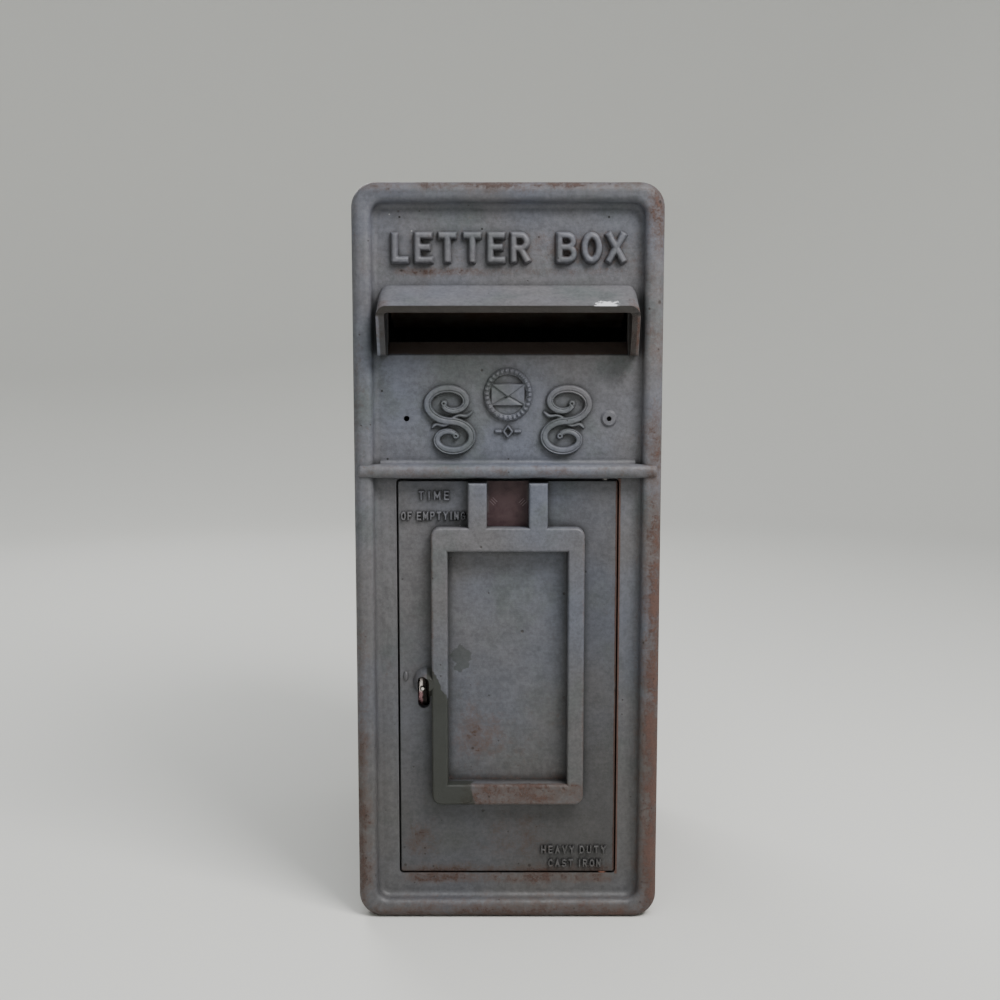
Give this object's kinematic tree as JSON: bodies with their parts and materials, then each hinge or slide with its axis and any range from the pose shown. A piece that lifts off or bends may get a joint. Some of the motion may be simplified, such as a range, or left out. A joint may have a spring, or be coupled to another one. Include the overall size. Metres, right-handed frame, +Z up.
{
  "type": "wall letter box",
  "caption": "Small cast-iron letter box with a hooded slot, a pivoting door with a raised notice frame, a lever lock and a box body to build into a wall.",
  "frame": {"origin": "middle of the overall footprint, on the surface the box stands on", "axes": "+Z up, the letter slot and door face -Y, +X to the right seen from the front"},
  "size_m": [0.252, 0.355, 0.613],
  "materials": {
    "painted_iron_front": "matt blue-grey primer over cast iron, rust at the edges",
    "painted_iron_door": "matt blue-grey primer over cast iron",
    "painted_iron_body": "matt grey primer, brushed thinly over rough casting",
    "painted_sheet": "matt grey primer on flat sheet",
    "bare_sheet": "bare mild steel, lightly rusted",
    "dark_enamel": "worn dark maroon enamel",
    "felt": "pressed felt",
    "bronze": "dull red bronze",
    "polished_steel": "bright, worn smooth",
    "brass": "aged brass",
    "machined_steel": "oiled, turned steel",
    "rusty_iron": "bare iron with brown rust",
    "galvanised_wire": "dull galvanised wire",
    "zinc_screws": "dull zinc",
    "rusty_bolts": "brown rust",
    "brass_screws": "aged brass"
  },
  "bodies": {
    "case": {"front_casting": "painted_iron_front", "body_shell": "painted_iron_body", "front_bolts": "rusty_bolts", "hinge_keeper": "rusty_iron", "keeper_screws": "zinc_screws", "hinge_washer": "bronze", "lock_keep": "rusty_iron", "keep_screws": "zinc_screws", "chute_floor": "bare_sheet", "chute_baffle": "bare_sheet", "chute_screws": "zinc_screws", "letter_guard": "galvanised_wire", "guard_screws": "zinc_screws"},
    "door_leaf": {"door": "painted_iron_door", "upper_hinge_pin": "machined_steel", "lower_hinge_pin": "machined_steel", "notice_plate": "painted_sheet", "notice_packing": "felt", "backing_plate": "bare_sheet", "backing_studs": "zinc_screws", "backing_nuts": "zinc_screws", "tablet": "dark_enamel", "lock_case": "brass", "lock_cap": "brass", "lock_levers": "brass", "lever_springs": "machined_steel", "lever_pins": "machined_steel", "key_pin": "machined_steel", "lock_screws": "brass_screws", "cover_rivet": "polished_steel"},
    "bolt": {"lock_bolt": "brass"},
    "cover": {"keyhole_cover": "bronze"}
  },
  "joints": [
    {"name": "door_hinge", "type": "hinge", "parent": "case", "child": "door_leaf", "pos_m": [0.0807, -0.138, 0.2048], "axis": [0, 0, 1], "range_deg": [0, 110]},
    {"name": "bolt_slide", "type": "slide", "parent": "door_leaf", "child": "bolt", "axis": [-1, 0, 0], "range_m": [0, 0.009]},
    {"name": "cover_swing", "type": "hinge", "parent": "door_leaf", "child": "cover", "pos_m": [-0.072, -0.1315, 0.1945], "axis": [0, 1, 0], "range_deg": [-55, 80]}
  ]
}
